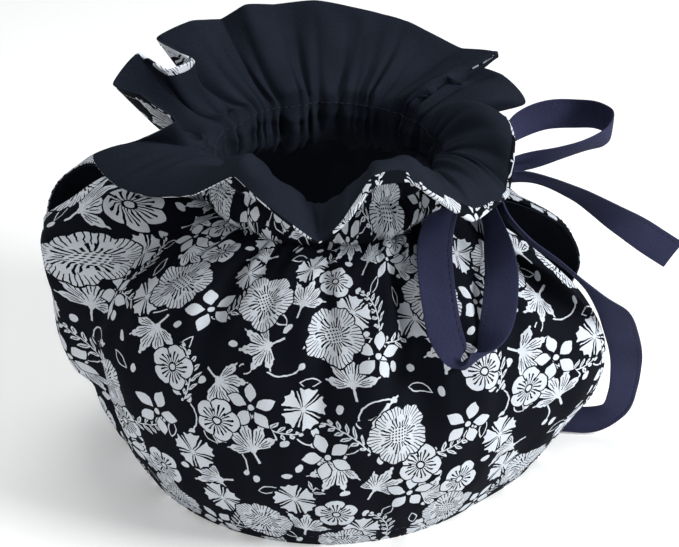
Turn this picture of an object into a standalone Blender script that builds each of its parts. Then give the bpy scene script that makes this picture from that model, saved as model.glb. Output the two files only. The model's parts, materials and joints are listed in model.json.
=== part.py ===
# A tea cosy: a gathered cotton cover for a teapot of about one litre.
# The printed cloth and its plain lining are two sheets that share one shape:
# body, drawstring channel at the neck, and a standing frill. Flat tape ties
# in a bow at the handle side.
# Tables are in millimetres and degrees. +X is the handle side, +Y the back,
# +Z up, and angles run round the neck from +X towards +Y.

import bpy
import numpy as np
from mathutils import Matrix, Vector

MM = 0.001
CLOTH = 1.0
GAP = 0.3
TAPE = 1.2
TAPE_STEP = 5.0
CLOTH_ROUGH = 0.9
WIDE_FOLD = 9

# The model's axis through the neck, so that the whole thing is centred on the origin.
NECK_AT = (-18.4, 0.0, 0.0)

# Where the rows of stitches and the free edge lie, measured up the cloth.
HEM_TURN = -4.0
LINING_FOOT = 3.0
LOWER_STITCH = 174.0
UPPER_STITCH = 191.0
FREE_EDGE = 237.0
NECK_REACH = 51.0
CHANNEL_BULGE = 2.5

# The body all round: length up the cloth, reach to the side and to the front, height.
BODY = (
    (0, 90, 88, 0),
    (33, 104, 100, 30),
    (64, 112, 104, 60),
    (89, 116, 101, 85),
    (114, 105, 93, 107),
    (139, 83, 75, 120),
    (161, 62, 60, 126),
    (174, 51, 51, 128),
)
# The same cloth where the spout pushed it out: length up the cloth, reach, height.
SPOUT_SIDE = (
    (0, 90, 0),
    (30, 105, 28),
    (44, 109, 43),
    (54, 117, 51),
    (64, 121, 61),
    (84, 123, 84),
    (108, 125, 107),
    (116, 124, 116),
    (128, 112, 126),
    (142, 96, 135),
    (156, 74, 136),
    (174, 51, 128),
)
# The front panel beside the handle slit: length up the cloth, reach, height.
HANDLE_SIDE = (
    (0, 101, 0),
    (33, 118, 30),
    (64, 131, 58),
    (82, 128, 76),
    (102, 117, 94),
    (122, 99, 108),
    (142, 79, 118),
    (162, 61, 126),
    (174, 51, 128),
)
SPOUT_ANGLE = 180.0
SPOUT_FLAT = 13.0
SPOUT_FADE = 13.0
HANDLE_FULL = 352.0
HANDLE_FADE = 38.0

# The handle slit: length up the cloth, angle to its back edge and to its front edge.
SLIT = (
    (0, 9, 12),
    (40, 9, 15),
    (64, 7, 16),
    (100, 3, 18),
    (124, 1.5, 17),
    (150, 1, 12),
    (174, 0, 0),
)

# The spout hole: a lens between two lengths, its half angle, and how far its lips rise.
# The cloth beside it makes way as far as HOLE_EASE.
HOLE_LOW = 112.0
HOLE_HIGH = 143.0
HOLE_HALF = 8.0
HOLE_LIP = 5.0
HOLE_EASE = 34.0

# Main folds of the body: angle, half width, depth, lowest and highest length up the cloth.
FOLDS = (
    (203, 9, -6, 20, 160),
    (156, 10, -5, 20, 160),
    (222, 8, 3, 60, 176),
    (240, 6, -3, 80, 176),
    (254, 7, 3, 70, 176),
    (269, 5, -4, 60, 176),
    (281, 7, 3, 60, 176),
    (293, 6, -4, 40, 176),
    (306, 7, 3, 60, 176),
    (320, 5, -3, 90, 176),
    (136, 8, 3, 60, 176),
    (118, 6, -4, 60, 176),
    (100, 8, 3, 60, 176),
    (82, 6, -3, 60, 176),
    (62, 8, 3, 60, 176),
    (46, 6, -4, 60, 176),
    (25, 24, -12, 50, 190),
)

# The frill's free edge: angle at the neck, then angle, reach and height of the edge,
# and how far the cloth between them bows up.
FRILL = (
    (4, 352, 75, 166, 8),
    (12, 14, 58, 160, 6),
    (19, 22, 66, 150, 4),
    (26, 19, 92, 154, 6),
    (34, 33, 93, 158, 4),
    (41, 41, 84, 161, 3),
    (47, 33, 91, 169, 2),
    (54, 48, 93, 162, 0),
    (66, 65, 88, 171, -2),
    (79, 79, 84, 176, -3),
    (93, 94, 79, 182, -4),
    (105, 108, 80, 181, -4),
    (113, 119, 76, 185, -4),
    (121, 126, 82, 178, -3),
    (128, 138, 82, 182, -4),
    (136, 149, 88, 178, -7),
    (144, 151, 68, 173, -9),
    (151, 161, 73, 173, -7),
    (158, 161, 86, 179, -6),
    (168, 169, 94, 169, -8),
    (176, 182, 79, 173, -9),
    (183, 190, 65, 165, -4),
    (189, 188, 80, 157, 2),
    (197, 190, 99, 152, 6),
    (206, 205, 95, 151, 8),
    (215, 219, 91, 155, 8),
    (226, 232, 85, 161, 10),
    (237, 243, 79, 171, 12),
    (249, 255, 89, 166, 10),
    (267, 268, 93, 154, 6),
    (280, 275, 91, 162, 10),
    (293, 283, 82, 172, 12),
    (303, 293, 81, 171, 12),
    (314, 301, 88, 161, 10),
    (324, 309, 91, 151, 8),
    (334, 318, 89, 151, 6),
    (344, 328, 87, 150, 6),
    (354, 340, 82, 163, 8),
)

# The bow. A row: middle line x, y, z; the direction across the tape; its width.
TAPES = {
    "loop_back": (
        (71, 6, 136, 0, -0.2, 1, 8),
        (77, 20, 139, 0, -0.1, 1, 12),
        (84, 32, 141, 0, 0, 1, 14),
        (99, 41, 143, 0, 0, 1, 14.5),
        (112, 43, 143, 0, 0, 1, 14.5),
        (121, 40, 144, 0, -0.1, 1, 14.5),
        (127, 31, 144, 0, -0.2, 1, 14.5),
        (123, 20, 143, 0, -0.5, 1, 14.5),
        (113, 14, 141, 0, -0.8, 1, 14.5),
        (102, 11, 139, 0, -0.8, 1, 14),
        (90, 8, 137, 0, -0.5, 1, 12),
        (78, 4, 136, 0, -0.2, 1, 8),
        (73, 2, 136, 0, -0.2, 1, 7),
    ),
    "tail_back": (
        (72.5, -4, 134, 0, -0.5, 1, 7),
        (81, -1, 134, 0, -0.6, 1, 10),
        (96, 2, 130, 0, -0.8, 0.8, 13),
        (110, 4, 123, 0, -0.8, 0.9, 14),
        (121, 6, 115, 0, -0.6, 1, 14.5),
        (134, 9, 105, 0, -0.2, 1, 14.5),
        (147, 12, 94, 0, 0, 1, 14.5),
        (158, 14, 86, 0, 0, 1, 14.5),
    ),
    "loop_front": (
        (61, -13, 134, 0.3, -0.2, 1, 7),
        (54, -24, 135, 0.8, -0.2, 0.5, 10),
        (47, -40, 133, 1, 0, 0, 13),
        (44, -56, 131, 1, 0, 0, 14.5),
        (44, -70, 127, 1, 0.1, 0, 14.5),
        (45, -82, 119, 1, 0.1, -0.1, 14.5),
        (48, -92, 109, 1, 0.1, -0.2, 14.5),
        (54, -97, 101, 0.7, 0.5, -0.6, 14.5),
        (62, -93, 102, -0.2, 0.8, -0.6, 14.5),
        (68, -83, 109, -0.9, 0.3, -0.3, 14.5),
        (71, -68, 117, -1, 0, -0.3, 14.5),
        (71, -50, 125, -0.8, 0, -0.6, 14),
        (69, -32, 130, -0.4, 0, -0.9, 11),
        (65, -15, 134, -0.2, 0, -0.9, 7),
    ),
    "tail_front": (
        (71, -10, 132, 0.1, 0, 1, 7),
        (73, -19, 132, 0.1, -0.5, 0.9, 9),
        (77, -32, 130, 0, -0.8, 0.6, 12),
        (86, -41, 124, 0, -0.85, 0.5, 14),
        (95, -46, 119, 0, -0.85, 0.5, 14.5),
        (103, -48, 113, 0, -0.85, 0.5, 14.5),
        (113, -48, 104, 0.2, -0.8, 0.5, 14.5),
        (123, -41, 89, 0.7, -0.5, 0.4, 14.5),
        (130, -30, 70, 1, -0.1, 0.3, 14.5),
        (135, -20, 48, 1, 0.1, 0.1, 14.5),
        (136, -14, 30, 1, 0.2, -0.1, 14.5),
        (133, -10, 16, 0.7, 0.2, -0.7, 14),
        (124, -8, 9, 0.1, 0, -1, 14.5),
        (112, -7, 8.5, 0, 0, -1, 14.5),
        (100, -5, 8.5, 0, 0, -1, 14.5),
    ),
}
KNOT_AT = (63.0, -3.0, 135.0)
KNOT_HALF = (8.0, 9.5, 8.5)

INKS = {
    "print": (0.05, 0.055, 0.075),
    "lining": (0.021, 0.028, 0.042),
    "tie": (0.03, 0.032, 0.06),
}


def through(rows, at):
    # A Catmull-Rom curve through the rows of a table, whose first column is the place.
    rows = np.asarray(rows, float)
    at = np.clip(at, rows[0, 0], rows[-1, 0])
    place, values = rows[:, 0], rows[:, 1:]
    slope = np.gradient(values, place, axis=0)
    right = np.clip(np.searchsorted(place, at), 1, len(place) - 1)
    left = right - 1
    gap = (place[right] - place[left])[..., None]
    t = ((at - place[left]) / (place[right] - place[left]))[..., None]
    return (
        (2 * t**3 - 3 * t**2 + 1) * values[left]
        + (t**3 - 2 * t**2 + t) * gap * slope[left]
        + (3 * t**2 - 2 * t**3) * values[right]
        + (t**3 - t**2) * gap * slope[right]
    )


def eased(x):
    x = np.clip(x, 0, 1)
    return x * x * (3 - 2 * x)


def frill_rows():
    # The frill's table three times round, so that a curve through it closes on itself.
    # An edge angle is taken as the turn nearest its neck angle.
    rows = np.array(FRILL, float)
    rows[:, 1] += 360 * np.round((rows[:, 0] - rows[:, 1]) / 360)
    turns = [rows + (turn, turn, 0, 0, 0) for turn in (-360, 0, 360)]
    return np.concatenate(turns)


def body_point(angle, length):
    # The reach and height at an angle: the body's own profile, drawn out to the
    # spout's and the handle's near them, plus the folds.
    turn = np.radians(angle)
    side, front, height = np.moveaxis(through(BODY, length), -1, 0)
    reach = side * front / np.hypot(side * np.sin(turn), front * np.cos(turn))
    spout = 1 - eased((np.abs(angle - SPOUT_ANGLE) - SPOUT_FLAT) / SPOUT_FADE)
    handle = 1 - eased((HANDLE_FULL - angle) / HANDLE_FADE)
    for profile, share in ((SPOUT_SIDE, spout), (HANDLE_SIDE, handle)):
        out, up = np.moveaxis(through(profile, length), -1, 0)
        reach = reach + share * (out - reach)
        height = height + share * (up - height)
    for centre, half, depth, low, high in FOLDS:
        across = eased(1 - np.abs(angle - centre) / half)
        middle = (low + high) / 2
        along = eased(2 * (1 - np.abs(length - middle) / (high - low) * 2))
        reach = reach + depth * across * along
    return reach, height


def hole_share(length):
    # A lens: 0 outside the hole's two ends, 1 at its middle.
    along = np.clip((length - HOLE_LOW) / (HOLE_HIGH - HOLE_LOW), 0, 1)
    return np.sin(np.pi * along) ** 0.7


def cloth_point(around, length, lip):
    # A place on the cloth: share of the way round from the slit's back edge to its
    # front edge, length up the cloth from the hem's fold, and the side of the spout.
    around, length, lip = np.broadcast_arrays(around, length, lip)
    back, front = np.moveaxis(through(SLIT, length), -1, 0)
    rear = back + 2 * around * (180 - back)
    fore = 180 + (2 * around - 1) * (180 - front)
    angle = np.where(around < 0.5, rear, fore)
    aside = np.abs(angle - SPOUT_ANGLE)
    beside = np.clip(1 - aside / HOLE_EASE, 0, 1)
    angle = angle + lip * HOLE_HALF * hole_share(length) * beside
    reach, height = body_point(angle, np.clip(length, 0, LOWER_STITCH))
    height = height + HOLE_LIP * hole_share(length) * beside**4
    up_channel = np.clip((length - LOWER_STITCH) / (UPPER_STITCH - LOWER_STITCH), 0, 1)
    neck = NECK_REACH + CHANNEL_BULGE * np.sin(np.pi * up_channel)
    reach = np.where(length > LOWER_STITCH, neck, reach + np.minimum(length, 0))
    height = height + (UPPER_STITCH - LOWER_STITCH) * up_channel
    turn = np.radians(angle)
    low = np.stack([reach * np.cos(turn), reach * np.sin(turn), height], -1)
    up_frill = np.clip((length - UPPER_STITCH) / (FREE_EDGE - UPPER_STITCH), 0, 1)[..., None]
    edge_angle, reach, height, bow = np.moveaxis(through(frill_rows(), angle), -1, 0)
    turn = np.radians(edge_angle)
    edge = np.stack([reach * np.cos(turn), reach * np.sin(turn), height], -1)
    middle = (low + edge) / 2
    middle[..., 2] += 2 * bow
    bent = (1 - up_frill) ** 2 * low + 2 * up_frill * (1 - up_frill) * middle + up_frill**2 * edge
    return np.where(up_frill > 0, bent, low)


def material(name, colour, rough):
    made = bpy.data.materials.new(name)
    made.use_nodes = True
    shader = made.node_tree.nodes["Principled BSDF"]
    shader.inputs["Base Color"].default_value = (*colour, 1)
    shader.inputs["Roughness"].default_value = rough
    return made


def add_node(name, points, faces, colour):
    mesh = bpy.data.meshes.new(name)
    mesh.from_pydata((np.asarray(points) * MM).tolist(), [], [list(face) for face in faces])
    mesh.materials.append(material(name, colour, CLOTH_ROUGH))
    node = bpy.data.objects.new(name, mesh)
    node.parent = bpy.data.objects["neck"]
    bpy.context.scene.collection.objects.link(node)
    return node


def welded(grid, keep):
    # The grid's points with those that coincide made one, and the quads between the
    # columns, apart from the ones that keep leaves out.
    rows, columns = grid.shape[:2]
    flat = grid.reshape(-1, 3)
    _, first, index = np.unique(np.round(flat, 4), axis=0, return_index=True, return_inverse=True)
    index = index.reshape(rows, columns)
    corners = [index[:-1, :-1], index[:-1, 1:], index[1:, 1:], index[1:, :-1]]
    quads = np.stack(corners, -1)[:, keep]
    return flat[first], quads.reshape(-1, 4)


def vertex_normals(points, quads):
    normal = np.zeros_like(points)
    corner = points[quads]
    across = np.cross(corner[:, 2] - corner[:, 0], corner[:, 3] - corner[:, 1])
    for side in range(4):
        np.add.at(normal, quads[:, side], across)
    return normal / np.linalg.norm(normal, axis=1, keepdims=True)


def sheet_solid(points, quads, outer, inner):
    # A closed solid between two offsets of a surface, with walls along its open edges.
    normal = vertex_normals(points, quads)
    count = len(points)
    both = np.concatenate([points + outer * normal, points + inner * normal])
    edges = {(a, b) for quad in quads.tolist() for a, b in zip(quad, quad[1:] + quad[:1])}
    walls = [(b, a, a + count, b + count) for a, b in sorted(edges) if (b, a) not in edges]
    halves = np.concatenate([quads[:, [0, 1, 2]], quads[:, [0, 2, 3]]])
    return both, halves.tolist() + (halves[:, ::-1] + count).tolist() + walls


def column_places():
    # A column at each fold of the frill and one between folds that are far apart.
    # The one at the spout comes twice, once for each lip of the hole.
    angles = sorted({0, SPOUT_ANGLE, 360, *(row[0] for row in FRILL)})
    angles += [(a + b) / 2 for a, b in zip(angles, angles[1:]) if b - a > WIDE_FOLD]
    angles = sorted(angles + [SPOUT_ANGLE])
    split = angles.index(SPOUT_ANGLE)
    lips = [-1] * (split + 1) + [1] * (len(angles) - split - 1)
    keep = [column != split for column in range(len(angles) - 1)]
    return np.array(angles) / 360, np.array(lips), np.array(keep)


def add_cloth(name, lengths, outer, inner, colour):
    around, lips, keep = column_places()
    lengths = np.array(lengths, float)
    grid = cloth_point(around[None, :], lengths[:, None], lips[None, :])
    points, quads = welded(grid, keep)
    return add_node(name, *sheet_solid(points, quads, outer, inner), colour)


def add_tape(name, route):
    # A flat strip along a smooth curve through its route. Each row of a route holds a
    # point of its middle line, the direction across the tape, and the tape's width there.
    rows = np.array(route, float)
    step = np.linalg.norm(np.diff(rows[:, :3], axis=0), axis=1)
    place = np.concatenate([[0], np.cumsum(step)])
    at = np.linspace(0, place[-1], int(place[-1] / TAPE_STEP) + 2)
    curve = through(np.column_stack([place, rows]), at)
    middle, across, width = curve[:, :3], curve[:, 3:6], curve[:, 6:]
    along = np.gradient(middle, axis=0)
    along /= np.linalg.norm(along, axis=1, keepdims=True)
    across -= (across * along).sum(1, keepdims=True) * along
    across /= np.linalg.norm(across, axis=1, keepdims=True)
    face = np.cross(along, across) * TAPE / 2
    side = across * width / 2
    corners = (side + face, face - side, -side - face, side - face)
    ring = np.stack([middle + corner for corner in corners], 1)
    quads = []
    for start in range(0, 4 * (len(at) - 1), 4):
        for a, b in ((0, 1), (1, 2), (2, 3), (3, 0)):
            quads.append((start + a, start + b, start + b + 4, start + a + 4))
    last = 4 * (len(at) - 1)
    quads += [(3, 2, 1, 0), (last, last + 1, last + 2, last + 3)]
    return add_node(name, ring.reshape(-1, 3), quads, INKS["tie"])


def add_knot():
    # A rounded lump, a little flattened against the neck.
    bpy.ops.mesh.primitive_uv_sphere_add(segments=16, ring_count=10, radius=1)
    knot = bpy.context.active_object
    knot.name = knot.data.name = "tie_knot"
    knot.data.transform(Matrix.Diagonal((*KNOT_HALF, 1 / MM)) * MM)
    knot.location = Vector(KNOT_AT) * MM
    knot.data.materials.append(material("tie_knot", INKS["tie"], CLOTH_ROUGH))
    knot.parent = bpy.data.objects["neck"]


for old in list(bpy.data.objects):
    bpy.data.objects.remove(old)
neck = bpy.data.objects.new("neck", None)
neck.location = Vector(NECK_AT) * MM
bpy.context.scene.collection.objects.link(neck)

body = (24, 44, 54, 66, 88, HOLE_LOW, 122, 133, HOLE_HIGH, 158, LOWER_STITCH)
frill = (182, UPPER_STITCH, 203, 215, 226, FREE_EDGE)
lining_depth = CLOTH + GAP
add_cloth("print_cloth", (HEM_TURN, 0, *body, *frill), 0, -CLOTH, INKS["print"])
add_cloth(
    "lining_cloth", (LINING_FOOT, *body, *frill), -lining_depth, -lining_depth - CLOTH, INKS["lining"]
)
add_knot()
for tape_name, tape_route in TAPES.items():
    add_tape(tape_name, tape_route)
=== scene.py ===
# Finishes a gathered cotton tea cosy around its frame: the printed cloth, its plain
# lining, the tape bow with its knot, the stitches, and a pale studio.
# Tables are in millimetres and degrees. +X is the handle side, +Y the back.

import json
import bpy
import numpy as np
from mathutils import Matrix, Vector

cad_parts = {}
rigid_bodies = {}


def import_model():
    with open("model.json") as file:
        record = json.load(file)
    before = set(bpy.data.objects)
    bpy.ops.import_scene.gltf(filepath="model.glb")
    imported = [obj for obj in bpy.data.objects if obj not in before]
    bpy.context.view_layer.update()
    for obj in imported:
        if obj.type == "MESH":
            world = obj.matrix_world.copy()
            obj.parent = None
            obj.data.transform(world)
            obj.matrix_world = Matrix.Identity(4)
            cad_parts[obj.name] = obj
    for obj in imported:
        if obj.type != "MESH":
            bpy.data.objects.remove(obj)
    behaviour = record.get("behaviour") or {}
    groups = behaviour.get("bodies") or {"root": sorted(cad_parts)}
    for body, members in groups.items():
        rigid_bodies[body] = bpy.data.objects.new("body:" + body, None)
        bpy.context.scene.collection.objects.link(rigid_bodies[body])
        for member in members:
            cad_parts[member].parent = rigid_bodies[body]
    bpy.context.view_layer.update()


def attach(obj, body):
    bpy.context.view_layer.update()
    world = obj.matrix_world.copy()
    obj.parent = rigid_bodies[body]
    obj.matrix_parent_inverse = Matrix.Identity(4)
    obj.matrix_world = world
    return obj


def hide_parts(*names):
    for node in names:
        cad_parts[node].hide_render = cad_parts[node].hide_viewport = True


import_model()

mm = 0.001
neckAt = np.array((-18.4, 0.0, 0.0))

# The shape that the print and the lining share. Lengths run up the cloth from the hem.
cosy = {
    "body": (  # length, side reach, front reach, height
        (0, 90, 88, 0),
        (33, 104, 100, 30),
        (64, 112, 104, 60),
        (89, 116, 101, 85),
        (114, 105, 93, 107),
        (139, 83, 75, 120),
        (161, 62, 60, 126),
        (174, 51, 51, 128),
    ),
    "spoutSide": (  # length, reach, height
        (0, 90, 0),
        (30, 105, 28),
        (44, 109, 43),
        (54, 117, 51),
        (64, 121, 61),
        (84, 123, 84),
        (108, 125, 107),
        (116, 124, 116),
        (128, 112, 126),
        (142, 96, 135),
        (156, 74, 136),
        (174, 51, 128),
    ),
    "handleSide": (  # length, reach, height
        (0, 101, 0),
        (33, 118, 30),
        (64, 131, 58),
        (82, 128, 76),
        (102, 117, 94),
        (122, 99, 108),
        (142, 79, 118),
        (162, 61, 126),
        (174, 51, 128),
    ),
    "slit": (  # length, angle of the back edge, angle of the front edge
        (0, 9, 12),
        (40, 9, 15),
        (64, 7, 16),
        (100, 3, 18),
        (124, 1.5, 17),
        (150, 1, 12),
        (174, 0, 0),
    ),
    "folds": (  # angle, half width, depth, lowest and highest length
        (203, 9, -6, 20, 160),
        (156, 10, -5, 20, 160),
        (222, 8, 3, 60, 176),
        (240, 6, -3, 80, 176),
        (254, 7, 3, 70, 176),
        (269, 5, -4, 60, 176),
        (281, 7, 3, 60, 176),
        (293, 6, -4, 40, 176),
        (306, 7, 3, 60, 176),
        (320, 5, -3, 90, 176),
        (136, 8, 3, 60, 176),
        (118, 6, -4, 60, 176),
        (100, 8, 3, 60, 176),
        (82, 6, -3, 60, 176),
        (62, 8, 3, 60, 176),
        (46, 6, -4, 60, 176),
        (25, 24, -12, 50, 190),
    ),
    "frill": (  # neck angle; edge angle, reach, height and bow
        (4, 352, 75, 166, 8),
        (12, 14, 58, 160, 6),
        (19, 22, 66, 150, 4),
        (26, 19, 92, 154, 6),
        (34, 33, 93, 158, 4),
        (41, 41, 84, 161, 3),
        (47, 33, 91, 169, 2),
        (54, 48, 93, 162, 0),
        (66, 65, 88, 171, -2),
        (79, 79, 84, 176, -3),
        (93, 94, 79, 182, -4),
        (105, 108, 80, 181, -4),
        (113, 119, 76, 185, -4),
        (121, 126, 82, 178, -3),
        (128, 138, 82, 182, -4),
        (136, 149, 88, 178, -7),
        (144, 151, 68, 173, -9),
        (151, 161, 73, 173, -7),
        (158, 161, 86, 179, -6),
        (168, 169, 94, 169, -8),
        (176, 182, 79, 173, -9),
        (183, 190, 65, 165, -4),
        (189, 188, 80, 157, 2),
        (197, 190, 99, 152, 6),
        (206, 205, 95, 151, 8),
        (215, 219, 91, 155, 8),
        (226, 232, 85, 161, 10),
        (237, 243, 79, 171, 12),
        (249, 255, 89, 166, 10),
        (267, 268, 93, 154, 6),
        (280, 275, 91, 162, 10),
        (293, 283, 82, 172, 12),
        (303, 293, 81, 171, 12),
        (314, 301, 88, 161, 10),
        (324, 309, 91, 151, 8),
        (334, 318, 89, 151, 6),
        (344, 328, 87, 150, 6),
        (354, 340, 82, 163, 8),
    ),
    "neckReach": 51.0,
    "channelBulge": 2.5,
    "frillSlack": 0.4,
    "lowerStitch": 174.0,
    "upperStitch": 191.0,
    "freeEdge": 237.0,
    "spoutAngle": 180.0,
    "spoutFlat": 13.0,
    "spoutFade": 13.0,
    "handleFull": 352.0,
    "handleFade": 38.0,
    "holeLow": 112.0,
    "holeHigh": 143.0,
    "holeHalf": 8.0,
    "holeLip": 5.0,
    "holeEase": 34.0,
}


def through(rows, at, slack=1.0):
    # A Hermite curve through a table's rows: the first column is the place, and each
    # row's slope is that of its two neighbours. Less slack makes sharper corners.
    rows = np.asarray(rows, float)
    at = np.clip(at, rows[0, 0], rows[-1, 0])
    place, values = rows[:, 0], rows[:, 1:]
    slope = np.gradient(values, place, axis=0) * slack
    right = np.clip(np.searchsorted(place, at), 1, len(place) - 1)
    left = right - 1
    gap = (place[right] - place[left])[..., None]
    t = (at - place[left])[..., None] / gap
    return (
        (2 * t**3 - 3 * t**2 + 1) * values[left]
        + (t**3 - 2 * t**2 + t) * gap * slope[left]
        + (3 * t**2 - 2 * t**3) * values[right]
        + (t**3 - t**2) * gap * slope[right]
    )


def eased(x):  # 3x^2 - 2x^3 between 0 and 1
    x = np.clip(x, 0, 1)
    return x * x * (3 - 2 * x)


def frillRows():  # the frill's table three times round, each edge angle near its neck angle
    rows = np.array(cosy["frill"], float)
    rows[:, 1] += 360 * np.round((rows[:, 0] - rows[:, 1]) / 360)
    return np.concatenate([rows + (turn, turn, 0, 0, 0) for turn in (-360, 0, 360)])


def bodyPoint(angle, length):
    # Reach and height: an ellipse, drawn out to the spout's and the handle's own
    # profiles near them, plus each fold as depth * eased(across) * eased(along).
    turn = np.radians(angle)
    side, front, height = np.moveaxis(through(cosy["body"], length), -1, 0)
    reach = side * front / np.hypot(side * np.sin(turn), front * np.cos(turn))
    aside = np.abs(angle - cosy["spoutAngle"])
    spout = 1 - eased((aside - cosy["spoutFlat"]) / cosy["spoutFade"])
    handle = 1 - eased((cosy["handleFull"] - angle) / cosy["handleFade"])
    for profile, share in ((cosy["spoutSide"], spout), (cosy["handleSide"], handle)):
        out, up = np.moveaxis(through(profile, length), -1, 0)
        reach = reach + share * (out - reach)
        height = height + share * (up - height)
    for centre, half, depth, low, high in cosy["folds"]:
        across = eased(1 - np.abs(angle - centre) / half)
        middle = (low + high) / 2
        along = eased(2 * (1 - np.abs(length - middle) / (high - low) * 2))
        reach = reach + depth * across * along
    return reach, height


def holeShare(length):  # sin^0.7 between the spout hole's two ends
    along = (length - cosy["holeLow"]) / (cosy["holeHigh"] - cosy["holeLow"])
    return np.sin(np.pi * np.clip(along, 0, 1)) ** 0.7


def ringPoint(angle, reach, height):
    turn = np.radians(angle)
    return np.stack([reach * np.cos(turn), reach * np.sin(turn), height], -1)


def clothPlace(around, length, lip):
    # The body below the lower stitches, a channel of neckReach + bulge * sin above it,
    # and a frill that is a quadratic Bezier from the upper stitches to the free edge.
    around, length, lip = np.broadcast_arrays(around, length, lip)
    back, front = np.moveaxis(through(cosy["slit"], length), -1, 0)
    rear = back + 2 * around * (180 - back)
    fore = 180 + (2 * around - 1) * (180 - front)
    angle = np.where(around < 0.5, rear, fore)
    beside = np.clip(1 - np.abs(angle - cosy["spoutAngle"]) / cosy["holeEase"], 0, 1)
    angle = angle + lip * cosy["holeHalf"] * holeShare(length) * beside
    lower, upper, edge = cosy["lowerStitch"], cosy["upperStitch"], cosy["freeEdge"]
    reach, height = bodyPoint(angle, np.clip(length, 0, lower))
    height = height + cosy["holeLip"] * holeShare(length) * beside**4
    upChannel = np.clip((length - lower) / (upper - lower), 0, 1)
    neck = cosy["neckReach"] + cosy["channelBulge"] * np.sin(np.pi * upChannel)
    reach = np.where(length > lower, neck, reach + np.minimum(length, 0))
    low = ringPoint(angle, reach, height + (upper - lower) * upChannel)
    upFrill = np.clip((length - upper) / (edge - upper), 0, 1)[..., None]
    crisp = through(frillRows(), angle, cosy["frillSlack"])
    edgeAngle, reach, height, bow = np.moveaxis(crisp, -1, 0)
    high = ringPoint(edgeAngle, reach, height)
    middle = (low + high) / 2
    middle[..., 2] += 2 * bow
    bent = (1 - upFrill) ** 2 * low + 2 * upFrill * (1 - upFrill) * middle + upFrill**2 * high
    return np.where(upFrill > 0, bent, low)


# Fine shape that the gathers and the handling leave in the cloth. The up and down
# lengths are how far the gathers reach past the two rows of stitches.
gathers = {
    "fine": (56, 1.7),  # how many round the neck, and how far they stand out
    "broad": (34, 2.6),
    "fineUp": 38.0,
    "fineDown": 30.0,
    "broadUp": 58.0,
    "broadDown": 66.0,
    "pinch": 0.75,
    "pinchWidth": 2.2,
    "calm": (268.0, 22.0, 0.85),  # at the frill's front notch: angle, half width, share lost
    "wrinkles": (  # waves round the cloth, waves per 100 mm of length, phase, height
        (9, 1.1, 0.4, 0.5),
        (17, -0.8, 1.9, 0.4),
        (23, 1.9, 4.1, 0.3),
        (31, -2.3, 2.7, 0.22),
        (13, 3.1, 5.2, 0.22),
        (41, 0.7, 0.9, 0.2),
    ),
}


def puffs(around, count, shift):
    # |sin| of a phase that wanders, so that soft puffs of uneven width meet in creases.
    wander = 0.8 * np.sin(2 * np.pi * (5 * around + shift))
    wander = wander + 0.5 * np.sin(2 * np.pi * (13 * around + 1.7 * shift))
    tall = 0.75 + 0.25 * np.sin(2 * np.pi * (11 * around + 3.1 * shift))
    return tall * np.abs(np.sin(np.pi * (count * around + wander))) ** 0.8


def gathered(around, length, shift):
    # How far the cloth puffs out: tallest at the neck, pinched at both rows of stitches.
    above = length - cosy["upperStitch"]
    below = cosy["lowerStitch"] - length
    puffed = 0
    for kind, up, down in (("fine", "fineUp", "fineDown"), ("broad", "broadUp", "broadDown")):
        count, tall = gathers[kind]
        fade = 1 - eased(np.maximum(above / gathers[up], below / gathers[down]))
        puffed = puffed + tall * fade * puffs(around, count, shift)
    for row in (above, below):
        puffed = puffed * (1 - gathers["pinch"] * np.exp(-((row / gathers["pinchWidth"]) ** 2)))
    angle, wide, share = gathers["calm"]
    notch = np.exp(-(((around * 360 - angle) / wide) ** 2))
    return puffed * (1 - share * notch * eased(above / 10 + 0.5))


# Soft troughs from the neck down, each a line on the cloth: angle and length where it
# starts and ends, its half width, its depth.
creases = {
    "degree": 1.5,  # width of a degree of cloth
    "rows": (
        (271, 176, 281, 119, 5.5, 1.8),
        (303, 172, 304, 69, 6.5, 2.0),
        (241, 166, 247, 112, 5.0, 1.6),
        (226, 160, 229, 88, 7.0, 1.8),
        (256, 170, 261, 122, 4.0, 1.4),
        (287, 170, 292, 128, 4.0, 1.4),
        (315, 170, 318, 120, 5.0, 1.5),
        (327, 164, 331, 100, 6.0, 1.8),
        (345, 150, 349, 92, 6.0, 1.6),
        (213, 156, 211, 98, 6.0, 1.6),
        (199, 112, 201, 72, 6.0, 1.4),
        (198, 78, 200, 46, 5.0, 2.0),
        (60, 168, 63, 98, 7.0, 1.8),
        (78, 170, 76, 128, 4.0, 1.3),
        (95, 170, 92, 106, 6.0, 1.7),
        (111, 168, 112, 122, 4.0, 1.4),
        (126, 164, 129, 92, 7.0, 1.8),
        (149, 162, 147, 104, 6.0, 1.5),
        (36, 150, 33, 92, 6.0, 1.6),
    ),
}


def creased(around, length):
    # The deepest of the lines' depth * exp(-(distance / width)^2). Each trough widens from
    # 0.7 to 1.4 of its width on its way down.
    deep = 0
    for firstAngle, first, lastAngle, last, width, depth in creases["rows"]:
        run, rise = (lastAngle - firstAngle) * creases["degree"], last - first
        x = (around * 360 - firstAngle) * creases["degree"]
        y = length - first
        share = np.clip((x * run + y * rise) / (run**2 + rise**2), 0, 1)
        away = np.hypot(x - share * run, y - share * rise)
        deep = np.maximum(deep, depth * np.exp(-((away / (width * (0.7 + 0.7 * share))) ** 2)))
    return deep


def wrinkled(around, length):  # a sum of slanting sine waves less the creases, none at the hem
    soft = -creased(around, length)
    for count, rise, phase, height in gathers["wrinkles"]:
        soft = soft + height * np.sin(2 * np.pi * (count * around + rise * length / 100) + phase)
    return soft * eased(length / 25)


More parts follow.
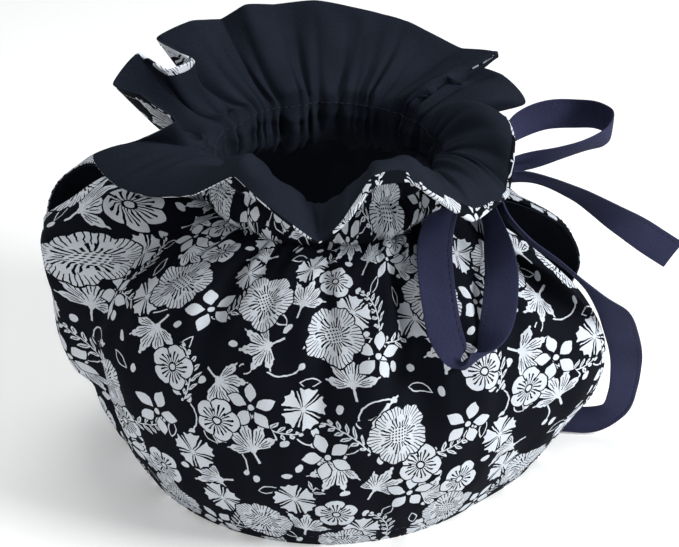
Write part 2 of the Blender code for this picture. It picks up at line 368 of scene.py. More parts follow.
def columnPlaces(count):
    # Places round the cloth at equal steps of its length along the frill's edge and the
    # belly together. The spout's comes twice, once for each lip of the hole.
    fine = np.linspace(0, 1, 4001)
    walked = 0
    for length, weight in ((cosy["freeEdge"], 1.0), (90.0, 0.8)):
        step = np.linalg.norm(np.diff(clothPlace(fine, length, 0.0), axis=0), axis=1)
        walked = walked + weight * np.concatenate([[0], np.cumsum(step)])
    middle = np.interp(0.5, fine, walked)
    early = round(count * middle / walked[-1])
    first = np.interp(np.linspace(0, middle, early), walked, fine)
    second = np.interp(np.linspace(middle, walked[-1], count - early), walked, fine)
    first[-1] = second[0] = 0.5
    lips = np.repeat((-1.0, 1.0), (early, count - early))
    keep = np.arange(count - 1) != early - 1
    return np.concatenate([first, second]), lips, keep


def clothLayer(around, lips, length, offset, puff, shift):
    # S + N * (offset + fine shape), where N is the cross product of the surface's two
    # slopes. Past the free edge S goes straight on.
    edge = cosy["freeEdge"]
    inside = np.minimum(length, edge)
    stepRound, stepUp = 0.0015, 1.2
    left = clothPlace(around - stepRound, inside, lips)
    right = clothPlace(around + stepRound, inside, lips)
    low = clothPlace(around, inside - stepUp, lips)
    high = clothPlace(around, np.minimum(inside + stepUp, edge), lips)
    upward = (high - low) / np.linalg.norm(high - low, axis=-1, keepdims=True)
    normal = np.cross(right - left, upward)
    normal /= np.linalg.norm(normal, axis=-1, keepdims=True)
    fade = eased((edge - inside) / 8)  # no wrinkles on the edge itself
    fine = puff * gathered(around, inside, shift) + wrinkled(around, inside) * fade
    place = clothPlace(around, inside, lips)
    return place + upward * (length - inside)[..., None] + normal * (offset + fine)[..., None]


def rowPlaces(*stretches):  # (from, to, steps) one after another, each end only once
    rows = [np.linspace(low, high, steps, endpoint=False) for low, high, steps in stretches]
    return np.concatenate([*rows, [stretches[-1][1]]])


def makeObject(name, points, faces, uv, finish):
    mesh = bpy.data.meshes.new(name)
    mesh.from_pydata((points + neckAt) * mm, [], faces)
    mesh.uv_layers.new(name="cloth").uv.foreach_set("vector", np.asarray(uv, np.float32).ravel())
    mesh.shade_smooth()
    mesh.materials.append(finish)
    made = bpy.data.objects.new(name, mesh)
    bpy.context.scene.collection.objects.link(made)
    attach(made, "root")
    return made


def closedSheet(name, outer, inner, flat, keep, finish):
    # A thin closed solid between two grids of points, welded where the slit and the
    # spout hole end, with walls along every open edge.
    rows, columns = outer.shape[:2]
    outer, inner = outer.reshape(-1, 3), inner.reshape(-1, 3)
    near = np.round(outer, 3)
    _, first, weld = np.unique(near, axis=0, return_index=True, return_inverse=True)
    weld, count = weld.ravel(), len(first)
    spots = np.arange(rows * columns).reshape(rows, columns)
    corners = [spots[:-1, :-1], spots[:-1, 1:], spots[1:, 1:], spots[1:, :-1]]
    quads = np.stack(corners, -1)[:, keep].reshape(-1, 4)
    a, b = quads.ravel(), np.roll(quads, -1, axis=1).ravel()
    lone = ~np.isin(weld[a] * count + weld[b], weld[b] * count + weld[a])
    a, b = a[lone], b[lone]
    walls = np.stack([weld[b], weld[a], weld[a] + count, weld[b] + count], -1)
    faces = np.concatenate([weld[quads], weld[quads[:, ::-1]] + count, walls])
    points = np.concatenate([outer[first], inner[first]])
    corners = np.concatenate([quads, quads[:, ::-1], np.stack([b, a, a, b], -1)])
    uv = flat.reshape(-1, 2)[corners]
    return makeObject(name, points, faces, uv, finish)


def setSockets(tree, node, values):
    for name, value in values.items():
        if isinstance(value, Plug):
            tree.links.new(value.socket, node.inputs[name])
        else:
            node.inputs[name].default_value = value


class Plug:
    # A shader socket. A sum of plugs adds the Math nodes that it needs.
    def __init__(self, tree, socket):
        self.tree, self.socket = tree, socket

    def node(self, kind, settings, values, out=0):
        # Any node: its type, its settings, then the values or links of its sockets.
        made = self.tree.nodes.new("ShaderNode" + kind)
        for name, value in settings.items():
            setattr(made, name, value)
        setSockets(self.tree, made, values)
        return Plug(self.tree, made.outputs[out])

    def maths(self, operation, *others):
        return self.node("Math", {"operation": operation}, dict(enumerate((self, *others))))

    def __add__(self, other):
        return self.maths("ADD", other)

    def __sub__(self, other):
        return self.maths("SUBTRACT", other)

    def __rsub__(self, other):
        return self.node("Math", {"operation": "SUBTRACT"}, {0: other, 1: self})

    def __mul__(self, other):
        return self.maths("MULTIPLY", other)

    __radd__, __rmul__ = __add__, __mul__

    def __truediv__(self, other):
        return self.maths("DIVIDE", other)

    def __lt__(self, other):
        return self.maths("LESS_THAN", other)

    def __gt__(self, other):
        return self.maths("GREATER_THAN", other)

    def __and__(self, other):
        return self.maths("MINIMUM", other)

    def __or__(self, other):
        return self.maths("MAXIMUM", other)

    def __abs__(self):
        return self.maths("ABSOLUTE")

    def sin(self):
        return self.maths("SINE")

    def cos(self):
        return self.maths("COSINE")

    def folded(self, half):  # the same every 2 * half, from -half to half
        return self.maths("WRAP", half, -half)

    def vector(self, operation, *others, out=0):
        values = dict(enumerate((self, *others)))
        return self.node("VectorMath", {"operation": operation}, values, out)

    def mixed(self, first, second, kind="RGBA"):  # first where this is 0, second where it is 1
        at = {"RGBA": (6, 7, 2), "VECTOR": (4, 5, 1)}[kind]
        values = {0: self, at[0]: first, at[1]: second}
        return self.node("Mix", {"data_type": kind}, values, at[2])

    def parts(self):
        return [self.node("SeparateXYZ", {}, {0: self}, out) for out in range(3)]


def startMaterial(name):  # a material, its shader, and a plug to start its nodes from
    made = bpy.data.materials.new(name)
    made.use_nodes = True
    tree = made.node_tree
    return made, tree.nodes["Principled BSDF"], Plug(tree, None)


def flatPlace(start, perMetre):  # a place on the flat cloth, in so many units a metre
    uv = start.node("UVMap", {"uv_map": "cloth"}, {})
    return start.node("VectorMath", {"operation": "SCALE"}, {0: uv, "Scale": perMetre})


def weaveHeight(x, y, thread):  # sin of x times sin of y, a thread wide
    return (x * (2 * np.pi / thread)).sin() * (y * (2 * np.pi / thread)).sin()


# The print: light flowers and leaves on near-black, charted on one repeat.
# A row is a motif's place and its turn in degrees.
printed = {
    "repeat": (126.0, 104.0),
    "ground": (0.0028, 0.0034, 0.006, 1),
    "worn": (0.007, 0.008, 0.0125, 1),
    "light": (0.70, 0.74, 0.80, 1),
    "shade": (0.50, 0.53, 0.57, 1),
    "wobble": 0.5,
    "weave": 0.42,
    "perMetre": 890.0,  # chart units in a metre of cloth
}
chart = {
    "stem": (
        (10, 50, 40), (46, 70, 200), (72, 72, 120), (98, 8, 300), (116, 66, 20), (34, 98, 260),
    ),
    "drop": (
        (6, 30, 80), (34, 47, 10), (39, 51, 60), (56, 38, 0), (70, 54, 90), (74, 96, 140),
        (79, 92, 100), (94, 50, 30), (93, 43, 150), (116, 40, 20), (122, 74, 110), (1, 82, 20),
        (22, 44, 60), (46, 66, 100), (112, 101, 40), (12, 99, 10), (67, 3, 30), (97, 78, 80),
        (64, 24, 70), (90, 24, 10), (34, 62, 20), (56, 76, 60), (88, 88, 130), (34, 4, 45),
    ),
    "outline": (
        (26, 39, 20), (50, 46, 110), (73, 24, 60), (90, 79, 150), (113, 57, 80), (19, 91, 30),
        (45, 86, 170), (60, 61, 45), (99, 20, 10), (4, 60, 130), (85, 15, 100), (118, 94, 60),
        (66, 104, 20), (30, 8, 140),
    ),
    "fern": (
        (58, 66, 150), (100, 54, 20), (6, 10, 60), (30, 68, 340), (84, 103, 10), (121, 84, 100),
        (44, 42, 60), (72, 14, 110),
    ),
    "leaf": (
        (38, 14, 80), (6, 38, 200), (68, 38, 60), (22, 58, 110), (74, 78, 200), (46, 102, 20),
        (104, 98, 250), (88, 30, 20), (8, 84, 330), (54, 52, 240), (62, 86, 100),
        (28, 102, 200),
    ),
    "daisy": ((82, 34, 10), (50, 56, 40), (106, 62, 0), (22, 76, 20), (122, 6, 50), (72, 98, 5)),
    "dogwood": ((62, 12, 10), (36, 34, 30), (92, 4, 50), (122, 50, 20), (42, 76, 0), (4, 26, 40)),
    "pansy": ((52, 26, 20), (104, 34, 50), (8, 68, 0), (114, 84, 10), (86, 48, 60)),
    "poppy": ((20, 16, 0), (78, 64, 40), (54, 1, 70), (102, 14, 20)),
}


fifth = np.pi / 5  # half the turn from one of five petals to the next


# Each motif takes the distance and the angle from its middle in chart units and radians,
# and gives where it hides what is behind it and where it is light.
def poppyMotif(r, a):
    # Rim: a circle with five soft petals and small scallops. Dark hairs at the rim,
    # dashes round the middle, and a dotted heart.
    r = r * 0.9
    rim = 9.3 + 1.7 * abs((a * 2.5).cos()) + 0.6 * abs((a * 7.5).cos())
    hairs = ((a * 47).sin() > 0.68) & (r > 7.2 + 0.9 * (a * 9).cos())
    dashes = ((a * 27).sin() > 0.15) & (r > 3.5) & (r < 6.2 + 1.3 * (a * 7).sin())
    dots = ((r * a.cos() * 3.6).sin() * (r * a.sin() * 3.6).sin() > 0.3) & (r < 3.8)
    return r < rim + 0.6, (r < rim) & (1 - (hairs | dashes | dots))


def pansyMotif(r, a):
    # Five round petals with dark slits between them, and rays out of a ringed dot.
    petal = abs((a * 2.5).cos())
    rim = 6.4 + 2.4 * petal.maths("POWER", 0.55)
    slit = (r * (fifth - abs(a.folded(fifth))).sin() < 0.34) & (r > 3.6)
    rays = ((a * 19).sin() > 0.25) & (r > 1.9) & (r < 4.2 + 2.4 * petal)
    ring = (r > 1.25) & (r < 1.95)
    return r < rim + 0.6, (r < rim) & (1 - (slit | rays | ring))


def dogwoodMotif(r, a):
    # Five wedge petals with notched tips, and a light rib in each dark gap.
    aside = abs(a.folded(fifth))
    tip = 8.7 - 0.9 * abs((aside * 8).sin())
    petal = (r * aside.sin() < 0.47 * r - 0.35) & (r < tip)
    rib = (r * (fifth - aside).sin() < 0.26) & (r < 7.6)
    return r < 9.2, petal | rib | (r < 1.1)


def daisyMotif(r, a):
    # Five almond petals that stand apart: |y| < 2.5 sin(pi t), t from 0 to 1 along each.
    turned = a.folded(fifth)
    bulge = ((r * turned.cos() - 2.2) * (np.pi / 7.9)).sin() * 2.5
    away = abs(r * turned.sin())
    return (away < bulge + 0.6) | (r < 1.8), (away < bulge) | (r < 1.25)


def leafMotif(r, a):
    # Five notched leaflets in a fan, the middle one longest, with dark veins.
    aside = abs(a.folded(0.34))
    reach = 9.4 + 3.8 * a.cos()
    away = r * aside.sin()
    taper = 5.2 * (1 - r / reach) + 0.55 * abs((r * 1.3).sin())
    fan = abs(a) < 1.7
    leaflet = (away < 0.27 * r + 0.1) & (away < taper) & fan
    vein = (away < 0.17) & (r > 2.6) & (r < reach * 0.78)
    side = (abs(away - 0.14 * r) < 0.16) & (r > 0.36 * reach) & (r < 0.66 * reach)
    stalk = (r * abs(a.sin()) < 0.45) & (r < 6)
    zone = (fan & (r < reach + 0.3)) | (r < 2)
    return zone, (leaflet & (1 - (vein | side))) | stalk | (r < 1.2)


def fernMotif(r, a):
    # A bent twig with slit leaflets on both sides, shorter towards its ends.
    x = r * a.cos()
    y = r * a.sin() - 0.03 * x * x + 1.0
    away = abs(y)
    long = 4.6 - 0.28 * abs(x)
    wide = (away * np.pi / long).sin() * 0.95
    place = abs((x - 0.7 * away + 1.7 * (y > 0)).folded(1.7))
    slit = (place < 0.2) & (away > 1) & (away < long - 1)
    leaflet = (place < wide) & (away < long) & (1 - slit)
    twig = (away < 0.25) & (abs(x) < 11)
    return (away < long) & (abs(x) < 11.5), leaflet & (abs(x) < 11.5) | twig


def outlineMotif(r, a):  # a small leaf in outline
    edge = 2.0 * (r * a.cos() * (np.pi / 9)).cos() - abs(r * a.sin())
    return (edge > -0.3) & (r < 4.6), (edge > 0) & (edge < 0.5) & (r < 4.5)


def dropMotif(r, a):  # a filled seed, longer than wide
    inside = abs(r * a.cos()) * 0.62
    across = r * a.sin()
    size = inside * inside + across * across
    return size < 2.6, size < 1.7


def stemMotif(r, a):  # an arc with a bud at each end
    bud = (abs(a) - 1.15) * 8
    size = bud * bud + (r - 9) * (r - 9) * 1.6
    arc = (abs(r - 9) < 0.3) & (abs(a) < 1.1)
    return arc, arc | (size < 2.2)


motifs = {  # from the back of the print to the front; the reach is that of its placing circle
    "stem": (stemMotif, 11.0),
    "drop": (dropMotif, 3.0),
    "outline": (outlineMotif, 5.0),
    "fern": (fernMotif, 12.0),
    "leaf": (leafMotif, 13.6),
    "daisy": (daisyMotif, 10.8),
    "dogwood": (dogwoodMotif, 9.4),
    "pansy": (pansyMotif, 10.2),
    "poppy": (poppyMotif, 13.8),
}


def placedMotif(spot, kind):
    # The offset from the placing in whose circle this spot lies. Its third part holds
    # the turn in thousandths, too small to change the distance.
    wide, tall = printed["repeat"]
    draw, reach = motifs[kind]
    found = (99.0, 99.0, 0.0)
    for x, y, turn in chart[kind]:
        apart = spot.vector("SUBTRACT", (x, y, -np.radians(turn) / 1000))
        near = apart.vector("WRAP", (wide / 2, tall / 2, 1), (-wide / 2, -tall / 2, -1))
        found = (near.vector("LENGTH", out=1) < reach).mixed(found, near, "VECTOR")
    x, y, turn = found.parts()
    angle = (y.maths("ARCTAN2", x) - turn * 1000).folded(np.pi)
    return draw((x * x + y * y).maths("SQRT"), angle)


def printMaterial():
    made, shader, start = startMaterial("printedCotton")
    flat = flatPlace(start, printed["perMetre"])
    hand = start.node("TexNoise", {}, {"Vector": flat, "Scale": 0.35, "Detail": 1.0}, 1)
    bent = hand.vector("MULTIPLY_ADD", (2 * printed["wobble"],) * 3, flat)
    x, y, _ = bent.parts()
    spot = start.node("CombineXYZ", {}, {0: x, 1: y})
    ink = None
    for kind in motifs:
        zone, light = placedMotif(spot, kind)
        ink = light if ink is None else (ink & (1 - zone)) | light
    blotch = start.node("TexNoise", {}, {"Vector": flat, "Scale": 0.04, "Detail": 4.0})
    speck = start.node("TexNoise", {}, {"Vector": flat, "Scale": 1.6, "Detail": 2.0})
    light = speck.mixed(printed["light"], printed["shade"])
    dark = blotch.mixed(printed["ground"], printed["worn"])
    height = weaveHeight(x, y, printed["weave"]) * 0.5 + ink * 0.15 + speck * 0.6
    bump = start.node("Bump", {}, {"Strength": 0.25, "Distance": 0.0003, "Height": height})
    values = {"Base Color": ink.mixed(dark, light), "Roughness": 0.86 - 0.06 * ink, "Normal": bump}
    setSockets(start.tree, shader, {**values, "Specular IOR Level": 0.04})
    return made


plainCloths = {  # the dark and the light tone, and the weave's thread
    "liningCotton": ((0.0045, 0.006, 0.0105, 1), (0.017, 0.0215, 0.034, 1), 0.5),
    "tapeCotton": ((0.015, 0.0155, 0.036, 1), (0.042, 0.046, 0.1, 1), 0.6),
    "darkThread": ((0.02, 0.022, 0.035, 1), (0.05, 0.052, 0.075, 1), 0.3),
    "paleThread": ((0.2, 0.21, 0.25, 1), (0.4, 0.42, 0.48, 1), 0.3),
}


def plainMaterial(name):
    # Dyed cotton: two tones in blotches, a little lint, and a plain weave in the bump.
    made, shader, start = startMaterial(name)
    dark, light, weave = plainCloths[name]
    flat = flatPlace(start, 1000.0)
    blotch = start.node("TexNoise", {}, {"Vector": flat, "Scale": 0.05, "Detail": 5.0})
    speck = start.node("TexNoise", {}, {"Vector": flat, "Scale": 1.1, "Detail": 3.0})
    x, y, _ = flat.parts()
    height = weaveHeight(x, y, weave) * 0.6 + speck
    bump = start.node("Bump", {}, {"Strength": 0.3, "Distance": 0.0003, "Height": height})
    tone = blotch * 0.6 + speck * 0.8 - 0.2
    values = {"Base Color": tone.mixed(dark, light), "Roughness": 0.9 - 0.1 * speck, "Normal": bump}
    setSockets(start.tree, shader, {**values, "Specular IOR Level": 0.06})
    return made


# The printed cloth: one sheet from the hem's flange up to the free edge, where it turns
# over onto the frill's inside. Where it turns less, the lining comes over to meet it.
printSheet = {
    "columns": 470,
    "rows": ((-4, 0, 2), (0, 110, 27), (110, 171, 24), (171, 194, 16)),  # from, to, how many
    "thick": 0.5,
    "turn": 0.85,  # radius of the turn over the free edge
    "flat": (0.62, 0.24),
    "puff": 0.75,
    "shift": 0.0,  # where its gathers start round the neck
    "walkSlack": 0.5,
    "walk": (  # angle at the neck, how far the print goes over the edge
        (0, 3.5),
        (8, 2.0),
        (13, 1.0),
        (26, 1.2),
        (41, 0.9),
        (54, 0.3),
        (128, 0.3),
        (141, 0.8),
        (147, 4.5),
        (156, 3.5),
        (162, 0.6),
        (176, 0.4),
        (184, 1.2),
        (215, 1.3),
        (237, 1.6),
        (258, 2.2),
        (270, 1.6),
        (284, 5.5),
        (303, 8.5),
        (322, 7.5),
        (334, 4.5),
        (345, 4.2),
        (360, 3.5),
    ),
}
liningSheet = {
    "columns": 470,
    "rows": ((3, 110, 22), (110, 171, 22), (171, 194, 17)),
    "outer": -0.6,
    "thick": 0.5,
    "turn": 0.85,
    "meet": 2.4,  # how far the print and the lining go over the edge together
    "least": 0.25,
    "flat": (0.62, 0.235),
    "puff": -1.7,
    "shift": 0.3,
}


def printWalk(around):
    return through(printSheet["walk"], around * 360, printSheet["walkSlack"])[..., 0]


def clothUv(around, length):  # metres of flat cloth
    across = around * printSheet["flat"][0]
    return np.stack(np.broadcast_arrays(across, length * mm), -1)


def overEdge(walk, whole, radius, centre, toward):
    # Length and offset after a walk over the free edge: half a circle about a centre
    # inside the cloth, then straight down the far side. The walk is measured on the
    # side whose radius is whole.
    turn = np.minimum(walk / whole, np.pi)
    down = np.maximum(walk - np.pi * whole, 0)
    return cosy["freeEdge"] + radius * np.sin(turn) - down, centre - toward * radius * np.cos(turn)


def turnedLayers(sheet, around, lips, up, walk, sides, toward):
    # Both sides of a sheet: rows up the cloth, then ten more over the edge.
    turn, puff, shift = sheet["turn"], sheet["puff"], sheet["shift"]
    over = np.linspace(0, 1, 11)[1:, None] * walk[None, :]
    thick = abs(sides[0] - sides[1])
    seen = min(sides) if toward > 0 else max(sides)
    centre = seen + toward * turn
    layers = []
    for side in sides:
        radius = turn if side == seen else turn - thick
        overLength, overOffset = overEdge(over, turn, radius, centre, toward)
        length = np.concatenate([up[:, None] + 0 * around, overLength])
        offset = np.concatenate([side + 0 * up[:, None] + 0 * around, overOffset])
        layers.append(clothLayer(around, lips, length, offset, puff, shift))
    walked = np.concatenate([up[:, None] + 0 * around, cosy["freeEdge"] + over])
    return layers, clothUv(around, walked)


def makePrint(finish):
    around, lips, keep = columnPlaces(printSheet["columns"])
    up = rowPlaces(*printSheet["rows"], (194, cosy["freeEdge"], 19))
    sides = (0.0, -printSheet["thick"])
    layers, uv = turnedLayers(printSheet, around, lips, up, printWalk(around), sides, -1)
    made = closedSheet("print_sheet", *layers, uv, keep, finish)
    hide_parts("print_cloth")
    return made


def makeLining(finish):
    around, lips, keep = columnPlaces(liningSheet["columns"])
    up = rowPlaces(*liningSheet["rows"], (194, cosy["freeEdge"], 22))
    sides = (liningSheet["outer"], liningSheet["outer"] - liningSheet["thick"])
    walk = np.maximum(liningSheet["meet"] - printWalk(around), liningSheet["least"])
    layers, uv = turnedLayers(liningSheet, around, lips, up, walk, sides, 1)
    made = closedSheet("lining_sheet", *layers, uv, keep, finish)
    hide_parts("lining_cloth")
    return made


# The bow. A row: middle line x, y, z; the direction across the tape; its width.
bow = {
    "thick": 1.1,
    "step": 1.1,
    "hem": 0.78,  # where the edge stitching runs, as a share of the half width
    "dent": 0.44,  # share of the thickness lost there
    "flatWidth": 0.0145,
    "routes": {
        "loop_back": (
            (71, 6, 136, 0, -0.2, 1, 8),
            (77, 20, 139, 0, -0.1, 1, 12),
            (84, 32, 141, 0, 0, 1, 14),
            (99, 41, 143, 0, 0, 1, 14.5),
            (112, 43, 143, 0, 0, 1, 14.5),
            (121, 40, 144, 0, -0.1, 1, 14.5),
            (127, 31, 144, 0, -0.2, 1, 14.5),
            (123, 20, 143, 0, -0.5, 1, 14.5),
            (113, 14, 141, 0, -0.8, 1, 14.5),
            (102, 11, 139, 0, -0.8, 1, 14),
            (90, 8, 137, 0, -0.5, 1, 12),
            (78, 4, 136, 0, -0.2, 1, 8),
            (73, 2, 136, 0, -0.2, 1, 7),
        ),
        "tail_back": (
            (72.5, -4, 134, 0, -0.5, 1, 7),
            (81, -1, 134, 0, -0.6, 1, 10),
            (96, 2, 130, 0, -0.8, 0.8, 13),
            (110, 4, 123, 0, -0.8, 0.9, 14),
            (121, 6, 115, 0, -0.6, 1, 14.5),
            (134, 9, 105, 0, -0.2, 1, 14.5),
            (147, 12, 94, 0, 0, 1, 14.5),
            (158, 14, 86, 0, 0, 1, 14.5),
        ),
        "loop_front": (
            (61, -13, 134, 0.3, -0.2, 1, 7),
            (54, -24, 135, 0.8, -0.2, 0.5, 10),
            (47, -40, 133, 1, 0, 0, 13),
            (44, -56, 131, 1, 0, 0, 14.5),
            (44, -70, 127, 1, 0.1, 0, 14.5),
            (45, -82, 119, 1, 0.1, -0.1, 14.5),
            (48, -92, 109, 1, 0.1, -0.2, 14.5),
            (54, -97, 101, 0.7, 0.5, -0.6, 14.5),
            (62, -93, 102, -0.2, 0.8, -0.6, 14.5),
            (68, -83, 109, -0.9, 0.3, -0.3, 14.5),
            (71, -68, 117, -1, 0, -0.3, 14.5),
            (71, -50, 125, -0.8, 0, -0.6, 14),
            (69, -32, 130, -0.4, 0, -0.9, 11),
            (65, -15, 134, -0.2, 0, -0.9, 7),
        ),
        "tail_front": (
            (71, -10, 132, 0.1, 0, 1, 7),
            (73, -19, 132, 0.1, -0.5, 0.9, 9),
            (77, -32, 130, 0, -0.8, 0.6, 12),
            (86, -41, 124, 0, -0.85, 0.5, 14),
            (95, -46, 119, 0, -0.85, 0.5, 14.5),
            (103, -48, 113, 0, -0.85, 0.5, 14.5),
            (113, -48, 104, 0.2, -0.8, 0.5, 14.5),
            (123, -41, 89, 0.7, -0.5, 0.4, 14.5),
            (130, -30, 70, 1, -0.1, 0.3, 14.5),
            (135, -20, 48, 1, 0.1, 0.1, 14.5),
            (136, -14, 30, 1, 0.2, -0.1, 14.5),
            (133, -10, 16, 0.7, 0.2, -0.7, 14),
            (124, -8, 9, 0.1, 0, -1, 14.5),
            (112, -7, 8.5, 0, 0, -1, 14.5),
            (100, -5, 8.5, 0, 0, -1, 14.5),
        ),
    },
}


def tapeFrame(route, step):
    # Length, middle line, direction across, face direction and half width at even steps.
    rows = np.array(route, float)
    hops = np.linalg.norm(np.diff(rows[:, :3], axis=0), axis=1)
    place = np.concatenate([[0], np.cumsum(hops)])
    at = np.linspace(0, place[-1], int(place[-1] / step) + 2)
    curve = through(np.column_stack([place, rows]), at)
    middle, across, half = curve[:, :3], curve[:, 3:6], curve[:, 6] / 2
    along = np.gradient(middle, axis=0)
    along /= np.linalg.norm(along, axis=1, keepdims=True)
    across = across - (across * along).sum(1, keepdims=True) * along
    across /= np.linalg.norm(across, axis=1, keepdims=True)
    return at, middle, across, np.cross(along, across), half


def tapeSpot(route, step, share, up):
    # A place on the tape: share across from -1 to 1, and up off its middle surface,
    # which cups a little and waves along its length.
    at, middle, across, face, half = tapeFrame(route, step)
    full = bow["flatWidth"] / mm / 2
    narrow = np.clip(full / half, 1, 2)[:, None] - 1
    cup = 0.35 * (share**2 - 0.4) + narrow * 1.1 * np.cos(share * np.pi * 1.5)
    wave = 0.35 * np.sin(at / 9)[:, None] * share + 0.22 * np.sin(at / 5.3 + 1)[:, None] * share**2
    edge = 1 + 0.02 * np.sin(at / 7 + 2)[:, None] * np.sign(share)
    lift = (up + cup + wave)[..., None]
    side = (share * half[:, None] * edge)[..., None]
    return at, middle[:, None] + across[:, None] * side + face[:, None] * lift


def capsAndSides(rings, around):
    # Quads between rings of points, and a cap at both ends.
    spots = np.arange(rings * around).reshape(rings, around)
    turned = np.roll(spots, -1, axis=1)
    quads = np.stack([spots[:-1], turned[:-1], turned[1:], spots[1:]], -1).reshape(-1, 4)
    return quads.tolist(), [spots[0, ::-1].tolist(), spots[-1].tolist()]


def makeTape(name, finish):
    # Its section is a flat oval: share = cos t * (1 + 0.12 sin^2 t), and up =
    # thick / 2 * |sin t|^0.5, dented where the edge stitching pulls it in.
    route = bow["routes"][name]
    turn = np.linspace(0, 2 * np.pi, 32, endpoint=False)
    share = np.cos(turn) * (1 + 0.12 * np.sin(turn) ** 2)
    up = bow["thick"] / 2 * np.sign(np.sin(turn)) * np.abs(np.sin(turn)) ** 0.5
    dent = 1 - bow["dent"] * np.exp(-(((share - bow["hem"]) / 0.06) ** 2))
    at, grid = tapeSpot(route, bow["step"], share[None, :], (up * dent)[None, :])
    rings, around = grid.shape[:2]
    quads, caps = capsAndSides(rings, around)
    corners = np.concatenate([np.array(quads).ravel(), np.array(caps).ravel()])
    across = share * bow["flatWidth"] / 2
    flat = np.stack(np.broadcast_arrays(at[:, None] * mm, across[None, :]), -1).reshape(-1, 2)
    made = makeObject(name + "_tape", grid.reshape(-1, 3), quads + caps, flat[corners], finish)
    made.data.set_sharp_from_angle(angle=1.2)
    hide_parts(name)
    return made, at[-1] * mm


# The knot: tape wound about the bow's middle.
knot = {
    "at": (63.0, -3.0, 135.0),
    "half": (8.0, 9.5, 8.5),
    "reach": 9.0,  # round figure for a band's radius, for its place on the flat tape
    "rings": 48,
    "spots": 16,
    "thick": 1.3,
    "wraps": (  # the axis that a band winds round, its size beside the knot's, its width
        ((0.25, 1.0, 0.1), 0.9, 9.0),
        ((0.9, 0.2, 0.5), 0.86, 8.0),
        ((0.5, -0.5, 0.9), 0.8, 7.5),
    ),
}


def makeKnot(finish):
    # Three flat bands, each a closed loop round its own axis: a circle of
    # middle + cos * first + sin * second, squashed to the knot's half sizes, whose section
    # is a flat oval that bulges out along its middle.
    points, faces, flat = [], [], []
    rings, spotsRound = knot["rings"], knot["spots"]
    turn = np.linspace(0, 2 * np.pi, rings, endpoint=False)
    section = np.linspace(0, 2 * np.pi, spotsRound, endpoint=False)
    centre, half = np.array(knot["at"]), np.array(knot["half"])
    for axis, size, width in knot["wraps"]:
        axis = np.array(axis) / np.linalg.norm(axis)
        first = np.cross(axis, (0.3, 0.2, 1.0))
        first /= np.linalg.norm(first)
        second = np.cross(axis, first)
        out = np.cos(turn)[:, None] * first + np.sin(turn)[:, None] * second
        across = np.cos(section) * width / 2
        up = np.sin(section) * knot["thick"] - 0.05 * across**2
        up = up[None, :] + 0.35 * np.sin(3 * turn + width)[:, None] * np.sin(section / 2)[None, :]
        ring = out[:, None] * (half * size) + axis * across[None, :, None]
        ring = ring + out[:, None] * up[..., None]
        spots = np.arange(rings * spotsRound).reshape(rings, spotsRound)
        nextRing, nextSpot = np.roll(spots, -1, axis=0), np.roll(spots, -1, axis=1)
        both = np.roll(nextRing, -1, axis=1)
        quads = np.stack([spots, nextSpot, both, nextRing], -1).reshape(-1, 4)
        place = np.stack(np.broadcast_arrays(turn[:, None] * knot["reach"], across[None, :]), -1) * mm
        flat.append(place.reshape(-1, 2)[quads.ravel()])
        faces.append(quads + rings * spotsRound * len(points))
        points.append((centre + ring).reshape(-1, 3))
    points, faces, flat = np.concatenate(points), np.concatenate(faces), np.concatenate(flat)
    made = makeObject("tie_wraps", points, faces, flat, finish)
    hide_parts("tie_knot")
    return made


# Rows of stitches, each a short thread that dives into the cloth at both ends.
sewing = {
    "long": 2.5,
    "apart": 3.1,
    "thread": 0.17,
    "proud": 0.12,
    "section": (  # place along a stitch from -1 to 1, share of its thread, share of its lift
        (-1.0, 0.35, -2.4),
        (-0.75, 0.9, 0.2),
        (0.0, 1.0, 1.0),
        (0.75, 0.9, 0.2),
        (1.0, 0.35, -2.4),
    ),
    "slitEdges": (("slit_back_stitches", 0.006), ("slit_front_stitches", 0.994)),
}


def stitchRow(name, line, normal, finish):
    # Stitches at even steps along a line. Each is a tube through five rings, highest in
    # its middle.
    step = np.linalg.norm(np.diff(line, axis=0), axis=1)
    place = np.concatenate([[0], np.cumsum(step)])
    count = max(int(place[-1] / sewing["apart"]), 1)
    at = (np.arange(count) + 0.5) * place[-1] / count
    spot = np.stack([np.interp(at, place, line[:, axis]) for axis in range(3)], -1)
    ahead = np.stack([np.interp(at + 0.8, place, line[:, axis]) for axis in range(3)], -1)
    out = np.stack([np.interp(at, place, normal[:, axis]) for axis in range(3)], -1)
    along = ahead - spot
    along[-1] = along[-2] if count > 1 else along[-1]
    along /= np.linalg.norm(along, axis=1, keepdims=True)
    out -= (out * along).sum(1, keepdims=True) * along
    out /= np.linalg.norm(out, axis=1, keepdims=True)
    side = np.cross(along, out)
    shares, thick, lift = np.array(sewing["section"]).T
    thick, lift = thick * sewing["thread"], lift * sewing["proud"]
    spotsRound = 5
    turn = np.linspace(0, 2 * np.pi, spotsRound, endpoint=False)
    middle = spot[:, None] + along[:, None] * (shares * sewing["long"] / 2)[None, :, None]
    middle = middle + out[:, None] * lift[None, :, None]
    ring = out[:, None] * np.cos(turn)[None, :, None] + side[:, None] * np.sin(turn)[None, :, None]
    points = middle[:, :, None] + ring[:, None] * thick[None, :, None, None]
    quads, caps = capsAndSides(len(shares), spotsRound)
    shift = (len(shares) * spotsRound * np.arange(count))[:, None, None]
    faces = (np.array(quads)[None] + shift).reshape(-1, 4).tolist()
    faces += (np.array(caps)[None] + shift).reshape(-1, spotsRound).tolist()
    corners = np.concatenate([np.ravel(face) for face in faces])
    uv = np.stack(np.broadcast_arrays(shares[:, None] * sewing["long"] / 2, turn[None, :] / 6), -1)
    uv = np.tile(uv.reshape(-1, 2) * mm, (count, 1))
    made = makeObject(name, points.reshape(-1, 3), faces, uv[corners], finish)
    return made


